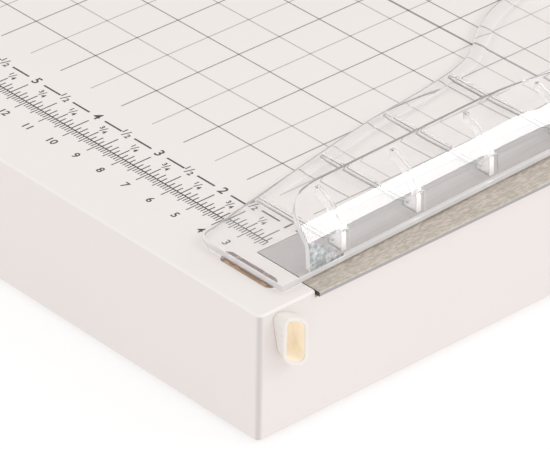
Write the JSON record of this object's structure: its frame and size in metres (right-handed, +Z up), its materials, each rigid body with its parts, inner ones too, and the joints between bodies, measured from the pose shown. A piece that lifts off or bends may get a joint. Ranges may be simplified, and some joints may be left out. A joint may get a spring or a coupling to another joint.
{
  "type": "guillotine paper cutter",
  "caption": "Guillotine paper cutter: deep moulded base with a printed deck, steel bed blade, clear ribbed blade guard, hinged blade arm with a grip and a sliding lock.",
  "frame": {"origin": "bottom centre of the box round the cutter with its arm raised", "axes": "+X from the deck towards the blade, +Y from the user towards the pivot, +Z up"},
  "size_m": [0.2856, 0.372, 0.4416],
  "materials": {
    "housing_plastic": "fine satin gloss, off-white",
    "cover_plastic": "matte, light grey",
    "foot_rubber": "matte",
    "bed_steel": "brushed along its length",
    "screw_steel": "zinc plated",
    "clear_plastic": "clear, polished",
    "retainer_bronze": "satin",
    "socket_plastic": "satin, cream inside",
    "arm_paint": "satin powder coat",
    "blade_steel": "ground",
    "grip_plastic": "fine texture",
    "bracket_paint": "zinc plated",
    "washer_nylon": "matte"
  },
  "bodies": {
    "base": {"base_housing": "housing_plastic", "bottom_cover": "cover_plastic", "bed_blade": "bed_steel", "guard_hinge_pin": "screw_steel", "guard_retainer": "retainer_bronze", "lock_socket": "socket_plastic", "paper_fence": "housing_plastic", "pivot_bracket": "bracket_paint", "pivot_bolt": "screw_steel", "pivot_washer": "screw_steel", "friction_washer": "washer_nylon", "pivot_nut": "screw_steel", "foot_front_left": "foot_rubber", "foot_front_right": "foot_rubber", "foot_rear_left": "foot_rubber", "foot_rear_right": "foot_rubber", "cover_screw_1": "screw_steel", "cover_screw_2": "screw_steel", "cover_screw_3": "screw_steel", "cover_screw_4": "screw_steel", "cover_screw_5": "screw_steel", "cover_screw_6": "screw_steel", "bed_screw_1": "screw_steel", "bed_screw_2": "screw_steel", "bed_screw_3": "screw_steel", "bed_screw_4": "screw_steel", "retainer_screw_1": "screw_steel", "retainer_screw_2": "screw_steel", "fence_screw_1": "screw_steel", "fence_screw_2": "screw_steel", "fence_screw_3": "screw_steel", "bracket_screw_1": "screw_steel", "bracket_screw_2": "screw_steel", "bracket_screw_3": "screw_steel"},
    "arm": {"blade_arm": "arm_paint", "moving_blade": "blade_steel", "handle_grip": "grip_plastic", "blade_screw_1": "screw_steel", "blade_screw_2": "screw_steel", "blade_screw_3": "screw_steel", "grip_screw_1": "screw_steel", "grip_screw_2": "screw_steel"},
    "lock": {"lock_bolt": "grip_plastic"},
    "guard": {"guard": "clear_plastic"}
  },
  "joints": [
    {"name": "arm_swing", "type": "hinge", "parent": "base", "child": "arm", "pos_m": [0.12705, 0.17, 0.0518], "axis": [1, 0, 0], "range_deg": [-25, 55]},
    {"name": "lock_slide", "type": "slide", "parent": "arm", "child": "lock", "axis": [-1, 0, 0], "range_m": [0, 0.005]},
    {"name": "guard_lift", "type": "hinge", "parent": "base", "child": "guard", "pos_m": [0.08405, 0.151, 0.044], "axis": [-1, 0, 0], "range_deg": [0, 1]}
  ]
}
